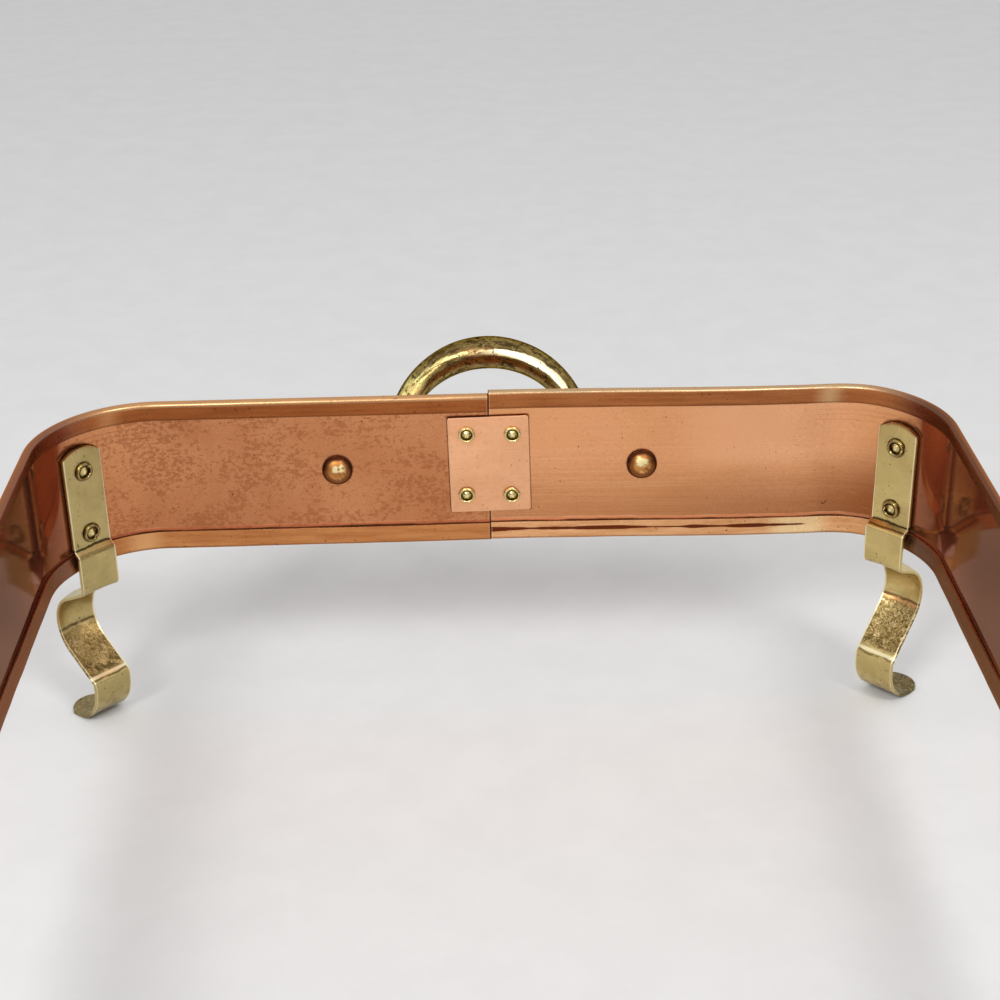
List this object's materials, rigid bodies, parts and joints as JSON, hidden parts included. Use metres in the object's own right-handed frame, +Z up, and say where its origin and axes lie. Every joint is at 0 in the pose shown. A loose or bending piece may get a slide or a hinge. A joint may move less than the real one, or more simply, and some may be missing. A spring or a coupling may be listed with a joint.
{
  "type": "open stand of a buffet server",
  "caption": "Rounded rectangular band stand with rolled hems, riveted seams, curled strap legs and loop handles, open top and bottom, holds a food pan over a burner.",
  "frame": {"origin": "on the floor, under the middle of the stand", "axes": "+Z up, Y along the stand, X across its short ends, the end with the seam in view at +Y"},
  "size_m": [0.34, 0.629, 0.137],
  "materials": {
    "copper_dark": "thin copper sheet, satin, with a mottled brown tarnish",
    "copper_bright": "thin copper sheet, brushed along its length, lightly tarnished",
    "copper_plate": "pale matt copper plate",
    "brass_strap": "pale olive brass strap, satin, with small dark specks and a crackled tarnish in the bend",
    "brass_rivet": "bright brass tubular rivet",
    "brass_cast": "cast brass bar, dark patchy tarnish with polished high spots",
    "bronze_dome": "polished bronze dome head"
  },
  "bodies": {
    "root": {"band_half_left": "copper_dark", "band_half_right": "copper_bright", "joint_plate_back": "copper_plate", "joint_rivet_back_left_lower": "brass_rivet", "joint_rivet_back_left_upper": "brass_rivet", "joint_rivet_back_right_lower": "brass_rivet", "joint_rivet_back_right_upper": "brass_rivet", "handle_back": "brass_cast", "handle_rivet_back_left": "bronze_dome", "handle_rivet_back_right": "bronze_dome", "joint_plate_front": "copper_plate", "joint_rivet_front_left_lower": "brass_rivet", "joint_rivet_front_left_upper": "brass_rivet", "joint_rivet_front_right_lower": "brass_rivet", "joint_rivet_front_right_upper": "brass_rivet", "handle_front": "brass_cast", "handle_rivet_front_left": "bronze_dome", "handle_rivet_front_right": "bronze_dome", "leg_back_left": "brass_strap", "leg_rivet_back_left_lower": "brass_rivet", "leg_rivet_back_left_upper": "brass_rivet", "leg_back_right": "brass_strap", "leg_rivet_back_right_lower": "brass_rivet", "leg_rivet_back_right_upper": "brass_rivet", "leg_front_left": "brass_strap", "leg_rivet_front_left_lower": "brass_rivet", "leg_rivet_front_left_upper": "brass_rivet", "leg_front_right": "brass_strap", "leg_rivet_front_right_lower": "brass_rivet", "leg_rivet_front_right_upper": "brass_rivet"}
  },
  "joints": []
}
